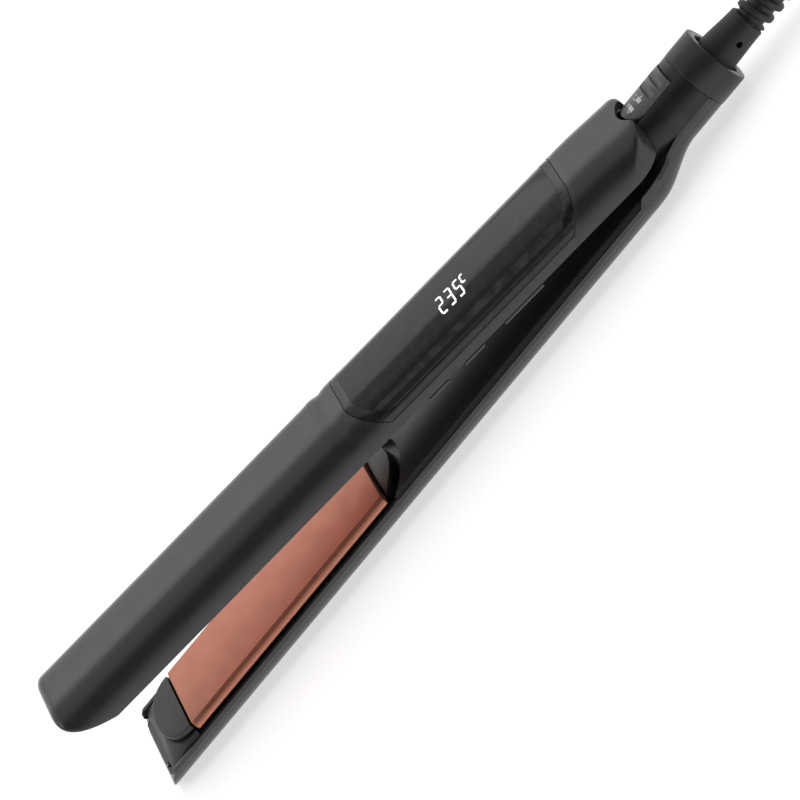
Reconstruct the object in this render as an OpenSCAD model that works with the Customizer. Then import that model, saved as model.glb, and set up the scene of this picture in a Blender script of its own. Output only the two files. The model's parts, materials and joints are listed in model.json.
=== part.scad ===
// Hair straightener with two hinged arms, floating plates, a temperature display,
// a lock slider and a swivelling cord. Millimetres, +Z up, lying open on its lower arm.
// X runs from the tip to the cord end, measured inside the modules from the tip end of the plates.
// Y = 0 is the middle of the arms. Inside the modules Z = 0 is the plane in which the plates meet.

/* [Arms] */
// Width of both arms
arm_w = 36; // [35:0.5:38]
// Height of the lower arm below the plate faces
lower_depth = 13; // [12.5:0.5:14]
// Height of the upper arm above the plate faces
upper_height = 13.9; // [13.5:0.1:15]
// Length of the lower arm in front of its plate
lower_nose_len = 20.5; // [20:0.1:21]
// Length of the upper arm in front of its plate
upper_nose_len = 25.2; // [24:0.1:26]
// Wall thickness of the shells and covers
wall = 1.6; // [1.2:0.1:1.8]
// Angle between the arms when they stand open
open_angle = 5.4; // [4:0.1:7]

/* [Plates] */
// Length of each heating plate
plate_len = 90; // [88:1:92]
// Width of the flat face of each plate
plate_flat = 29.6; // [28:0.1:30]
// Width of the rounded edge beside the flat face
plate_bevel = 1.1; // [0.8:0.1:1.2]
// Thickness of each plate
plate_t = 3; // [2.6:0.1:3.2]

/* [Hinge and neck] */
// Distance from the plates to the hinge pin
hinge_x = 217; // [216:0.5:218]
// Radius of the hinge pin
pin_r = 2; // [1.8:0.1:2.2]
// Radius of the neck behind the arms
neck_r = 10.9; // [10.8:0.05:11]
// Where the neck ends and the end cap begins
cap_x = 243; // [242.5:0.5:243.5]
// Length of the end cap
cap_len = 10; // [9.5:0.5:10.5]
// Travel of the lock slider
lock_travel = 5.5; // [4:0.5:6]

/* [Display and buttons] */
// Length of the display panel
panel_len = 92.7; // [88:0.1:93]
// Height of the display panel's lower edge above the plate faces
panel_rim = 5.2; // [4.8:0.1:6]
// Height of one digit, measured across the arm
digit_h = 8.1; // [6:0.1:9]
// Travel of each button
button_travel = 0.6; // [0.4:0.1:0.7]

/* [Cord] */
// Diameter of the cord
cord_d = 6.5; // [6:0.1:6.8]
// Length of the strain relief, measured from the middle of the swivel
relief_len = 57; // [56:0.5:58]
// Tilt of the strain relief below the neck's axis
relief_tilt = 3; // [2:0.5:4]

/* [Hidden] */
$fn = 64;
lower_screw_x = [100, 150, 198];
upper_screw_x = [112, 198];
half_w = arm_w / 2;
corner_r = 12;               // rounding of the lower corners of the shells
lower_rim = -5;              // height of the lower shell's upper edge
upper_rim = 2;               // height of the upper shell's lower edge
neck_seam = -2.7;            // height of the seam along the neck
// Shape of an arm from the side: length of the nose, its curvature, the depth of its foremost
// point, and the rise of the back at the rear
lower_form = [lower_nose_len, 0.083, 13, 1.8];
upper_form = [upper_nose_len, 0.168, 11, 1];
relief_end_x = 246 + relief_len * cos(relief_tilt);
tip_x = hinge_x - (hinge_x + upper_nose_len) * cos(open_angle) + upper_form[2] * sin(open_angle);
mid_x = (relief_end_x + tip_x) / 2;
clear = 0.05;                // gap between parts that are fitted together
ease = 0.3;                  // gap between parts that move past each other
plate_skirt = 2.3;           // height of the plate's rounded edge
plate_half = plate_flat / 2 + plate_bevel;
float_travel = 0.8;          // how far a plate sinks into its arm
heater_t = 2.4;
carrier_floor = -9.6;        // underside of the carrier's tray
panel_x = 103.1;             // tip end of the display panel
panel_half = 17.5;
panel_corner = 10;
lens_margin = 2.8;           // width of the bezel at both ends of the lens
lens_half = 16.6;
lens_rim = 7.5;              // height of the lens's lower edge
lens_t = 0.8;
button_y = -half_w + 0.8;    // outer face of the buttons
bolt_top = 7.2;
flange_r = 8;                // flange that keeps the strain relief in the neck
stub_r = 6.5;
buttons = [["minus", 127.2, 8], ["plus", 142, 8.2], ["power", 162.8, 16]];
digit_pitch = 3.6;
digit_x = 145;               // middle of the first digit
digit_y = -5.6;
digit_w = 2.4;
segment = 0.55;              // width of one lit bar
glow = 0.15;                 // thickness of the lit bars
hank_near = 236;             // middle of the hank's near turn
hank_far = 308;              // middle of the hank's far turn
hank_half = 29.25;
hank_floor = 0.6;
hank_top = 20.1;
tie_x = 251;
tie_w = 12;
plug_back = 246;
plug_z = 27.1;
lead_route = [
    [166, 0, 9.86], [170, -0.3, 9.4], [176, -1.6, 7.6], [182, -4, 6], [188, -7.6, 4.8],
    [194, -12, 4.1], [200, -16.6, 3.9], [206, -20.6, 3.85], [212, -23.6, 3.85],
    [219, -25.5, 3.85], [226, -26, 3.85]
];
tail_route = [
    [304, 19.5, 16.85], [297, 19.4, 17], [290, 18.4, 18], [283, 16, 19.9], [276, 12.4, 22.3],
    [269, 8, 24.6], [262, 4, 26.2], [255, 1.2, 27], [250, 0.2, 27.1], [246, 0, 27.1]
];

// ---------- placing ----------

module place() {
    translate([-mid_x, 0, lower_depth]) children();
}

module place_upper() {
    place() translate([hinge_x, 0, 0]) rotate([0, open_angle, 0]) translate([-hinge_x, 0, 0])
        children();
}

// Extrudes a profile drawn in Y and Z along X
module along_x(from, to) {
    translate([from, 0, 0]) rotate([90, 0, 90]) linear_extrude(to - from) children();
}

// Extrudes a profile drawn in X and Z across Y
module across_y(from, to) {
    translate([0, to, 0]) rotate([90, 0, 0]) linear_extrude(to - from) children();
}

module block(low, high) {
    translate(low) cube(high - low);
}

module turned_over() {
    mirror([0, 0, 1]) children();
}

// ---------- shared shapes ----------

// Round-bottomed profile of an arm, up to the plane of the plates
module bowl_profile(half, depth) {
    r = corner_r - (half_w - half);
    for (side = [-1, 1])
        translate([side * (half - r), r - depth]) circle(r = r);
    translate([r - half, -depth]) square([2 * (half - r), depth]);
    translate([-half, r - depth]) square([2 * half, depth - r]);
}

// Outline of an arm from above, rounded at the rear
module arm_outline(inset, front_x, rear_x, rear_r) {
    back_r = rear_r - inset;
    for (side = [-1, 1])
        translate([rear_x - back_r, side * (half_w - inset - back_r)]) circle(r = back_r);
    translate([rear_x - 2 * back_r, -(half_w - rear_r)]) square([2 * back_r, 2 * (half_w - rear_r)]);
    translate([front_x, inset - half_w]) square([rear_x - back_r - front_x, 2 * (half_w - inset)]);
}

// Front of an arm at a depth z below the plates' plane
function nose_x(form, z) = form[1] * (form[2] - z) * (form[2] - z) - form[0];

// Outline of an arm from the side, for an arm that hangs below the plates
module side_profile(inset, depth, rear_x, form) {
    steps = 8;
    deep = depth - inset;
    front = [
        for (i = [0:steps])
            [nose_x(form, i * deep / steps) + inset * (2.2 - 1.2 * i / steps), -i * deep / steps]
    ];
    polygon(concat(front, [[212, -deep], [rear_x, form[3] - deep], [rear_x, 0]]));
}

// Solid arm hanging below the plane of the plates, made smaller all round by inset
module arm_blank(inset, depth, rear_x, rear_r, form) {
    intersection() {
        along_x(-form[0] - 1, rear_x) bowl_profile(half_w - inset, depth - inset);
        across_y(-half_w, half_w) side_profile(inset, depth, rear_x, form);
        translate([0, 0, -depth]) linear_extrude(depth) arm_outline(inset, -form[0] - 1, rear_x, rear_r);
    }
}

module tube_x(from, to, outer, inner) {
    translate([from, 0, 0]) rotate([0, 90, 0]) difference() {
        cylinder(r = outer, h = to - from);
        translate([0, 0, -1]) cylinder(r = inner, h = to - from + 2);
    }
}

// Cover that closes an arm above its rim, for the lower arm: skin between two heights
module cover_skin(from, to, rim, top) {
    edge = 2;
    difference() {
        along_x(from, to) {
            translate([-half_w + 0.7, rim]) square([2 * half_w - 1.4, top - rim - edge]);
            translate([-half_w + 0.7 + edge, rim]) square([2 * half_w - 1.4 - 2 * edge, top - rim]);
            for (side = [-1, 1])
                translate([side * (half_w - 0.7 - edge), top - edge]) circle(r = edge);
        }
        along_x(from - 1, to - 1.5)
            translate([-half_w + 0.7 + wall, rim - 1]) square([2 * (half_w - 0.7 - wall), top - rim + 1 - wall]);
    }
}

// Heating plate seen from the side that touches the hair, for the lower arm
module plate_solid() {
    along_x(0, plate_len) polygon([
        [-plate_flat / 2, 0], [-plate_flat / 2 - plate_bevel * 0.6, -0.7], [-plate_half, -plate_skirt],
        [-plate_half + 0.2, -plate_t], [plate_half - 0.2, -plate_t], [plate_half, -plate_skirt],
        [plate_flat / 2 + plate_bevel * 0.6, -0.7], [plate_flat / 2, 0]
    ]);
}

module heater_solid() {
    block([12, -8, -plate_t - heater_t], [78, 8, -plate_t]);
}

// Spring clip that presses the heater against the plate
module clamp_solid() {
    difference() {
        block([16, -10, -plate_t - heater_t - 0.6], [74, 10, -plate_t]);
        block([15, -8.1, -plate_t - heater_t], [75, 8.1, 1]);
        for (x = [28, 45, 62]) translate([x, 0, -10]) cylinder(r = 2, h = 12);
    }
}

// Heat-proof tray that carries the floating plate
module carrier_solid(depth) {
    difference() {
        block([1, -11.5, carrier_floor], [89, 11.5, carrier_floor + 1.4]);
        block([14, -10.6, carrier_floor - 1], [76, 10.6, carrier_floor + 3]);
    }
    for (x = [1, 86.6], side = [-1, 1])
        translate([x, side * 9 - 2, carrier_floor])
            cube([2.4, 4, -plate_t - float_travel - 0.2 - carrier_floor]);
    for (x = [7, 83], side = [-1, 1])
        translate([x, side * 4, wall - depth]) cylinder(r = 1.5, h = carrier_floor + depth - wall);
}

// Soft rings between the carrier and the plate, at the height they have when pressed down
module cushion_set() {
    low = carrier_floor + 1.4;
    for (x = [8, 82], side = [-1, 1])
        translate([x, side * 8, low]) difference() {
            cylinder(r = 2.6, h = -plate_t - float_travel - clear - low);
            translate([0, 0, -1]) cylinder(r = 1.3, h = 20);
        }
}

// Screw with its head at the bottom
module screw_up(x, z) {
    translate([x, 0, z]) {
        cylinder(r = 2, h = 0.9);
        cylinder(r = 1, h = 6.5);
    }
}

// Slanted end block of an arm in front of the plate, with a raised round-ended pad
module nose_block(depth, form) {
    difference() {
        intersection() {
            arm_blank(wall + clear, depth, 60, 3, form);
            block([-form[0], -half_w, 2 * wall - depth], [-1, half_w, -1.2]);
        }
        block([-11, -9, -depth], [-3, 9, -4]);
    }
    translate([0, 0, -1.9]) linear_extrude(1.7) pad_outline(0);
    difference() {
        translate([0, 0, -0.3]) linear_extrude(0.3) pad_outline(1.1);
        translate([0, 0, -1]) linear_extrude(2) pad_outline(3);
    }
}

module pad_outline(inset) {
    intersection() {
        translate([2.5, 0]) circle(r = 13.5 - inset);
        translate([-20, -20]) square([19, 40]);
    }
}

// ---------- lower arm ----------

module neck_solid(r, from, to) {
    translate([from, 0, 0]) rotate([0, 90, 0]) cylinder(r = r, h = to - from);
}

module lower_shell() {
    color("#3d3d40") place() difference() {
        union() {
            arm_blank(0, lower_depth, 226, corner_r, lower_form);
            neck_solid(neck_r, 205, cap_x);
        }
        arm_blank(wall, lower_depth, 226 - wall, corner_r, lower_form);
        neck_solid(neck_r - wall, 215, cap_x + 1);
        block([-40, -30, lower_rim], [210, 30, 30]);
        block([209, -30, neck_seam], [cap_x + 1, 30, 30]);
        for (x = lower_screw_x) translate([x, 0, -20]) cylinder(r = 1.1, h = 20);
        for (x = lower_screw_x) translate([x, 0, -lower_depth - 1]) cylinder(r = 2.3, h = 2);
    }
}

module lower_liner() {
    color("#2b2b2e") place() difference() {
        union() {
            nose_block(lower_depth, lower_form);
            for (side = [-1, 1])
                translate([-2, side * 14.45 - 0.55, -6]) cube([95, 1.1, 1.9]);
            cover_skin(91.5, 208.6, lower_rim, -1);
            for (x = lower_screw_x)
                translate([x, 0, wall - lower_depth]) cylinder(r = 3, h = lower_depth - wall - 2);
            block([91.5, -14.2, -7], [93, 14.2, -1.2]);
        }
        for (x = lower_screw_x) translate([x, 0, -lower_depth]) cylinder(r = 1, h = 8);
    }
}

module lower_plate() {
    color("#c8846c") place() plate_solid();
}

module lower_heater() {
    color("#d8cfc0") place() heater_solid();
}

module lower_clamp() {
    color("#a8a9ad") place() clamp_solid();
}

module lower_carrier() {
    color("#4a463f") place() carrier_solid(lower_depth);
}

module lower_cushions() {
    color("#b5482f") place() cushion_set();
}

module thermal_fuse() {
    color("#d9d9dc") place() {
        translate([94, 5, -8]) rotate([0, 90, 0]) cylinder(r = 2, h = 11);
        translate([105, 5, -8]) rotate([0, 90, 0]) cylinder(r = 0.5, h = 5);
    }
}

module lower_wires() {
    color("#e8e4da") place() for (side = [-1, 1])
        translate([96, side * 8, -9.5]) rotate([0, 90, 0]) cylinder(r = 0.9, h = 112);
}

module lower_screws() {
    color("#8c8d90") place() for (x = lower_screw_x) screw_up(x, 0.1 - lower_depth);
}

// Two cheeks on a base that hold the hinge pin between the shell's walls
module hinge_block() {
    color("#3a3a3c") place() difference() {
        union() {
            for (side = [-1, 1]) {
                translate([hinge_x, side * 6.8 + 1.2, 0]) rotate([90, 0, 0]) cylinder(r = 4.2, h = 2.4);
                translate([hinge_x - 4.2, side * 6.8 - 1.2, -8]) cube([7.2, 2.4, 8]);
            }
            block([204, -8, -8], [hinge_x + 3, 8, -6.4]);
            block([204, -5.9, wall - lower_depth], [211.9, 5.9, -8]);
        }
        translate([hinge_x, 20, 0]) rotate([90, 0, 0]) cylinder(r = pin_r, h = 40);
    }
}

module hinge_pin() {
    color("#b9babd") place() translate([hinge_x, 8, 0]) rotate([90, 0, 0])
        cylinder(r = pin_r, h = 16);
}

// Torsion spring beside the tongue: a ridged coil with two legs, drawn as it lies when closed
module opening_spring() {
    wire = 0.45;
    turn = 3;
    color("#9c9da1") place() translate([hinge_x, 0, 0]) {
        translate([0, 5.5, 0]) rotate([90, 0, 0]) rotate_extrude() {
            translate([turn - wire, wire]) square([1.4 * wire, 4 * wire]);
            for (i = [0:2]) translate([turn, wire * (1 + 1.8 * i)]) circle(r = wire);
        }
        translate([-9.4, 4.2, 2.2]) rotate([0, 85, 0]) cylinder(r = wire, h = 9.4);
        translate([0, 4.9, -turn]) rotate([0, 93, 0]) cylinder(r = wire, h = 8);
    }
}

// Upper half of the neck, with a shoulder over the rear of the lower shell
module neck_cover() {
    color("#333336") place() difference() {
        union() {
            neck_solid(neck_r, 213, cap_x);
            intersection() {
                translate([0, 0, neck_seam]) linear_extrude(1.5) arm_outline(0.7, 200, 226 - 0.7, corner_r);
                block([209, -half_w, neck_seam], [227, half_w, 0]);
            }
        }
        neck_solid(neck_r - wall, 212, cap_x + 1);
        block([208, -9, -20], [214, 9, 20]);
        block([200, -20, -20], [cap_x + 1, 20, neck_seam]);
        block([215.5, -6.2, 4], [240, 6.2, 20]);
    }
}

// Thumb slider with a rounded front end, two grooves and a rib underneath
module lock_slider() {
    nose_r = 5.9;
    color("#606064") place() difference() {
        union() {
            intersection() {
                difference() {
                    neck_solid(neck_r + 0.15, 222, 239.4);
                    neck_solid(neck_r - wall + 0.1, 221, 240);
                }
                union() {
                    block([222 + nose_r, -nose_r, 6], [239.4, nose_r, 20]);
                    translate([222 + nose_r, 0, 6]) cylinder(r = nose_r, h = 12);
                }
            }
            block([224.5, -3, bolt_top], [233, 3, 9.8]);
        }
        for (x = [232.2, 236.2]) block([x, -4.6, neck_r - 0.6], [x + 1, 4.6, 20]);
    }
}

// Foot below the slider that reaches towards the hinge
module lock_bolt() {
    color("#7a7b7e") place() block([221, -3.6, bolt_top - 1.6], [234, 3.6, bolt_top]);
}

module end_cap() {
    color("#3d3d40") place() tube_x(cap_x, cap_x + cap_len, neck_r + 0.1, 8);
}

module relief_axis() {
    translate([246, 0, 0]) rotate([0, 90 + relief_tilt, 0]) children();
}

// Collar inside the neck in which the strain relief turns
module swivel_bush() {
    color("#58585b") place() difference() {
        neck_solid(neck_r - wall - clear, cap_x - 9, cap_x);
        relief_axis() translate([0, 0, -20]) cylinder(r = stub_r + clear, h = 40);
        relief_axis() translate([0, 0, -10.1]) cylinder(r = flange_r + 0.2, h = 4.2);
    }
}

// Turned relief on its tilted axis: flange, smooth stub and ribbed tail
module strain_relief() {
    ribs = 8;
    rib_pitch = 4.4;
    rib_start = 20;
    color("#1e1e20") place() relief_axis() difference() {
        union() {
            translate([0, 0, -9.8]) cylinder(r = flange_r, h = 3.6);
            translate([0, 0, -6.2]) cylinder(r = stub_r, h = 12);
            rotate_extrude() polygon([
                [0, 5.8], [stub_r, 5.8], [5.7, rib_start], [4.2, rib_start + 1],
                [3.9, relief_len - 2], [3.9, relief_len], [0, relief_len]
            ]);
            for (i = [0:ribs - 1])
                translate([0, 0, rib_start + 1.2 + i * rib_pitch])
                    cylinder(r = 5.6 - 0.12 * i, h = rib_pitch * 0.55);
        }
        translate([0, 10, 14]) rotate([90, 0, 0]) cylinder(r = 1, h = 20);
    }
}

// ---------- upper arm ----------

module upper_shell() {
    rear_x = 223;
    scoop_r = 7.5;
    color("#4b4b4f") place_upper() turned_over() difference() {
        arm_blank(0, upper_height, rear_x, corner_r, upper_form);
        arm_blank(wall, upper_height, rear_x - wall, corner_r, upper_form);
        block([-50, -30, -upper_rim], [240, 30, 30]);
        // room for the neck, and the recess that the lock slider moves into
        neck_solid(neck_r + 0.7, 205, 240);
        translate([rear_x + 4.5, 0, -30]) cylinder(r = scoop_r, h = 60);
        panel_band(-clear, panel_half + clear, panel_rim - clear, -1, wall + 1);
        for (x = upper_screw_x) translate([x, 0, -upper_height + 1]) cylinder(r = 1, h = 2);
    }
}

// Outline of the display panel from above
module panel_plan(inset, half) {
    ends = [panel_x + inset, panel_x + panel_len - inset];
    for (x = [ends[0] + panel_corner, ends[1] - panel_corner], side = [-1, 1])
        translate([x, side * (half - panel_corner)]) circle(r = panel_corner);
    translate([ends[0] + panel_corner, -half]) square([ends[1] - ends[0] - 2 * panel_corner, 2 * half]);
    translate([ends[0], panel_corner - half]) square([ends[1] - ends[0], 2 * (half - panel_corner)]);
}

// Layer between two depths below the upper arm's surface
module skin_layer(outer, inner) {
    difference() {
        along_x(panel_x - 5, panel_x + panel_len + 5) bowl_profile(half_w - outer, upper_height - outer);
        along_x(panel_x - 6, panel_x + panel_len + 6) bowl_profile(half_w - inner, upper_height - inner);
    }
}

// Part of such a layer inside the panel's outline and above a given height
module panel_band(inset, half, rim, outer, inner) {
    intersection() {
        skin_layer(outer, inner);
        translate([0, 0, -upper_height - 2]) linear_extrude(upper_height + 2 - rim) panel_plan(inset, half);
    }
}

module display_bezel() {
    ledge = 2;
    color("#0b0b0c") place_upper() turned_over() difference() {
        panel_band(0, panel_half, panel_rim, 0, wall - clear);
        panel_band(lens_margin, lens_half, lens_rim, -1, lens_t + clear);
        panel_band(lens_margin + ledge, lens_half - ledge / 2, lens_rim + ledge, -1, wall + 1);
    }
}

module display_lens() {
    color("#1b1b1d") place_upper() turned_over()
        panel_band(lens_margin + clear, lens_half - clear, lens_rim + clear, 0, lens_t);
}

// Lit bars of one digit, numbered clockwise from the top, the middle bar last
module digit(bars, width, height) {
    reach = width / 2 - segment / 2;
    rise = height / 2 - segment / 2;
    level = [width - 1.3 * segment, segment];
    upright = [segment, rise - 1.3 * segment];
    lit = [
        [0, rise, level], [reach, rise / 2, upright], [reach, -rise / 2, upright], [0, -rise, level],
        [-reach, -rise / 2, upright], [-reach, rise / 2, upright], [0, 0, level]
    ];
    for (b = bars)
        translate([lit[b][0], lit[b][1]]) square(lit[b][2], center = true);
}

module display_digits() {
    shown = [[0, 1, 6, 4, 3], [0, 1, 6, 2, 3], [0, 5, 6, 2, 3]];
    color("#f4f8ff") place_upper() turned_over() intersection() {
        skin_layer(-glow, 0);
        translate([0, 0, -upper_height - 1]) linear_extrude(6) {
            for (i = [0:2]) translate([digit_x + i * digit_pitch, digit_y]) digit(shown[i], digit_w, digit_h);
            translate([digit_x + 9.7, digit_y + 1.9]) digit([0, 5, 4, 3], 1.8, 4.4);
        }
    }
}

module led_module() {
    color("#d6d6d2") place_upper() block([138, -9.5, 7.2], [164, 0.5, 11.4]);
}

module upper_liner() {
    color("#303033") place_upper() turned_over() difference() {
        union() {
            nose_block(upper_height, upper_form);
            for (side = [-1, 1])
                translate([-2, side * 14.45 - 0.55, -6]) cube([95, 1.1, 1.9]);
            difference() {
                cover_skin(91.5, 206, -upper_rim - 1.2, -0.3);
                for (side = [-1, 1])
                    translate([90, side * 17 - 1.1, -9]) cube([117, 2.2, 9 - upper_rim]);
            }
            for (x = upper_screw_x)
                translate([x, 0, wall - upper_height]) cylinder(r = 3, h = upper_height - wall - 0.7);
            for (x = [121, 187], side = [-1, 1]) translate([x, side * 9, -6]) cylinder(r = 1.8, h = 5);
            block([91.5, -14.2, -7], [93, 14.2, -1]);
        }
        for (x = upper_screw_x) translate([x, 0, -7.5]) cylinder(r = 1, h = 8);
        for (x = upper_screw_x) translate([x, 0, -1.6]) cylinder(r = 2.2, h = 3);
        for (b = buttons)
            block([b[1] - b[2] / 2 - 0.2, -half_w - 1, -upper_rim - 0.2],
                  [b[1] + b[2] / 2 + 0.2, -half_w + 6, 0.1]);
    }
}

module upper_plate() {
    color("#c8846c") place_upper() turned_over() plate_solid();
}

module upper_heater() {
    color("#d8cfc0") place_upper() turned_over() heater_solid();
}

module upper_clamp() {
    color("#a8a9ad") place_upper() turned_over() clamp_solid();
}

module upper_carrier() {
    color("#4a463f") place_upper() turned_over() carrier_solid(upper_height);
}

module upper_cushions() {
    color("#b5482f") place_upper() turned_over() cushion_set();
}

module thermistor() {
    color("#dcb98a") place_upper() turned_over() {
        translate([95, -5, -8]) sphere(r = 1.5);
        translate([95, -5, -8]) rotate([0, 90, 0]) cylinder(r = 0.5, h = 12);
    }
}

module upper_wires() {
    color("#b8402c") place_upper() turned_over() for (side = [-1, 1])
        translate([96, side * 5, -5]) rotate([0, 90, 0]) cylinder(r = 0.9, h = 100);
}

module upper_screws() {
    color("#8c8d90") place_upper() for (x = upper_screw_x) screw_up(x, 0.7);
}

// Arm of the hinge that turns on the pin, fixed to the upper shell
module hinge_tongue() {
    color("#8f9094") place_upper() difference() {
        union() {
            translate([hinge_x, 2.4, 0]) rotate([90, 0, 0]) cylinder(r = 4.2, h = 7.6);
            block([207.2, -5.2, 3.3], [hinge_x, 2.4, 5]);
            block([199, -5.2, 3.3], [208, 5.2, 5]);
            block([202, -5.2, 5], [204, 5.2, upper_height - wall]);
        }
        translate([hinge_x, 20, 0]) rotate([90, 0, 0]) cylinder(r = pin_r + clear, h = 40);
        translate([198, 0, -5]) cylinder(r = 3.3, h = 16);
    }
}

module control_board() {
    color("#2f6b3c") place_upper() difference() {
        block([118, -13, 6], [190, 13, 7.2]);
        for (side = [-1, 1]) translate([120, side * 10.5, 0]) cylinder(r = 1.2, h = 10);
    }
}

module tact_switches() {
    color("#2a2a2c") place_upper() for (b = buttons) {
        block([b[1] - 2, -12.2, 3.6], [b[1] + 2, -8.2, 6]);
        block([b[1] - 1, -13, 2.6], [b[1] + 1, -8.2, 3.6]);
    }
}

// Push button in the near side of the upper cover, with an arm towards its switch
module side_button(b) {
    color("#56565a") place_upper() {
        block([b[1] - b[2] / 2, button_y, 0.3], [b[1] + b[2] / 2, button_y + 1.4, upper_rim - 0.2]);
        block([b[1] - 1, button_y + 1.4, 0.6], [b[1] + 1, -13.1 - button_travel, upper_rim - 0.4]);
    }
}

module minus_button() {
    side_button(buttons[0]);
}

module plus_button() {
    side_button(buttons[1]);
}

module power_button() {
    side_button(buttons[2]);
}

// ---------- cord, drawn where it lies, with Z = 0 at the surface ----------

// Direction of a route at point i, from its neighbours
function heading(route, i) =
    let (a = route[max(i - 1, 0)], b = route[min(i + 1, len(route) - 1)]) (b - a) / norm(b - a);

// One ring of the swept tube
function ring(centre, dir, r, sides) =
    let (side = cross([0, 0, 1], dir) / norm(cross([0, 0, 1], dir)), up = cross(dir, side))
    [for (k = [0:sides - 1]) centre + r * (cos(360 * k / sides) * side + sin(360 * k / sides) * up)];

// Closed tube of even thickness along a route
module swept(route, r, sides) {
    n = len(route);
    points = [for (i = [0:n - 1]) each ring(route[i], heading(route, i), r, sides)];
    walls = [
        for (i = [0:n - 2], k = [0:sides - 1])
            [i * sides + k, i * sides + (k + 1) % sides, (i + 1) * sides + (k + 1) % sides, (i + 1) * sides + k]
    ];
    start = [for (k = [sides - 1:-1:0]) k];
    end = [for (k = [0:sides - 1]) (n - 1) * sides + k];
    polyhedron(points, concat([start], walls, [end]), convexity = 6);
}

module cord_lead() {
    exit_point = [relief_end_x - mid_x, 0, lower_depth - relief_len * sin(relief_tilt)];
    color("#19191b") swept(concat([exit_point], lead_route), cord_d / 2, 10);
}

module cord_tail() {
    color("#19191b") swept(tail_route, cord_d / 2, 10);
}

module hank_outline(half) {
    for (x = [hank_near, hank_far]) translate([x, 0]) circle(r = half);
    translate([hank_near, -half]) square([hank_far - hank_near, 2 * half]);
}

module cord_hank() {
    color("#19191b") translate([0, 0, hank_floor]) linear_extrude(hank_top - hank_floor)
        hank_outline(hank_half);
}

module cord_tie() {
    color("#0f0f10") difference() {
        block([tie_x, -hank_half - 0.6, 0], [tie_x + tie_w, hank_half + 0.6, hank_top + 0.6]);
        block([tie_x - 1, -hank_half, hank_floor], [tie_x + tie_w + 1, hank_half, hank_top]);
    }
}

// Flat two-pin plug lying on the hank, with its own tapered relief
module plug_body() {
    color("#19191b") translate([0, 0, plug_z]) {
        translate([plug_back, 0, 0]) rotate([0, -90, 0]) cylinder(r = 4.6, h = 17);
        translate([0, 0, -6.8]) linear_extrude(13.6)
            polygon([[196, -12], [201, -17.5], [212, -17.5], [230, -7], [230, 7], [212, 17.5], [201, 17.5], [196, 12]]);
    }
}

module plug_pins() {
    color("#c9cacd") translate([0, 0, plug_z]) for (side = [-1, 1])
        translate([196, side * 9, 0]) rotate([0, -90, 0]) cylinder(r = 2, h = 19);
}

lower_shell();
lower_liner();
lower_plate();
lower_heater();
lower_clamp();
lower_carrier();
lower_cushions();
thermal_fuse();
lower_wires();
lower_screws();
hinge_block();
hinge_pin();
opening_spring();
neck_cover();
lock_slider();
lock_bolt();
end_cap();
swivel_bush();
strain_relief();
upper_shell();
upper_liner();
upper_plate();
upper_heater();
upper_clamp();
upper_carrier();
upper_cushions();
thermistor();
upper_wires();
upper_screws();
hinge_tongue();
display_bezel();
display_lens();
display_digits();
led_module();
control_board();
tact_switches();
minus_button();
plus_button();
power_button();
cord_lead();
cord_hank();
cord_tail();
cord_tie();
plug_body();
plug_pins();
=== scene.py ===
import json
import math

import bmesh
import bpy
from mathutils import Matrix, Vector


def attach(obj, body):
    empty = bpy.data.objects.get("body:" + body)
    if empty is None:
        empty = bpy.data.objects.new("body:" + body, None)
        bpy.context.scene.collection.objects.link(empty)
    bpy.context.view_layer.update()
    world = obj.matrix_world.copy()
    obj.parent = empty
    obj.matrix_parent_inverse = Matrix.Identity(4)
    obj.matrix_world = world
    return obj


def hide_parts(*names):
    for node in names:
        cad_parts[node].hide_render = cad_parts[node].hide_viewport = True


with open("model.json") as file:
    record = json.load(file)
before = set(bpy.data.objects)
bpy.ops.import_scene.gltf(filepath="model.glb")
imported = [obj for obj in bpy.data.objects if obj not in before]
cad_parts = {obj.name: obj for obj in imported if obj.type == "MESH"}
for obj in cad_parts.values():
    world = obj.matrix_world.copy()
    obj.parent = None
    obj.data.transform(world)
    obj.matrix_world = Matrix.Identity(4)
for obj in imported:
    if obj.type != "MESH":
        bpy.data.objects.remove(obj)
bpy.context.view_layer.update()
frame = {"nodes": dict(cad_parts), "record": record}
NODES = frame["nodes"]

MM = 0.001
MID_X = 139.916        # plates' tip end to the middle of the row, in mm
PLATE_Z = 13.0         # height of the plane of the plates above the surface
HINGE_X = 217.0
OPEN = math.radians(5.4)
HALF = 18.0            # half the width of both arms
CORNER = 12.0          # radius along the arms' long edges
UPPER_TOP = 13.9       # top of the upper arm over its plate's face
LOWER_DEEP = 13.0      # bottom of the lower arm under its plate's face
PLATE_LONG = 90
KEYS = (("minus_button", "minus_key", 127.2, 8.0), ("plus_button", "plus_key", 142.0, 8.2),
        ("power_button", "power_key", 162.8, 16.0))    # node, body, middle and width of each button


def low(x, y, z):
    """Point of the lower arm, given in mm from the plates' tip end, in the row frame."""
    return Vector(((x - MID_X) * MM, y * MM, (z + PLATE_Z) * MM))


def high(x, y, z):
    """Point of the upper arm, z mm above its plate's face, as it stands open."""
    dx = x - HINGE_X
    c, s = math.cos(OPEN), math.sin(OPEN)
    return low(HINGE_X + dx * c + z * s, y, -dx * s + z * c)


def smooth(t):
    """Eased step from 0 to 1."""
    t = min(1.0, max(0.0, t))
    return t * t * (3 - 2 * t)


# ---------- camera ----------

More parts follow.
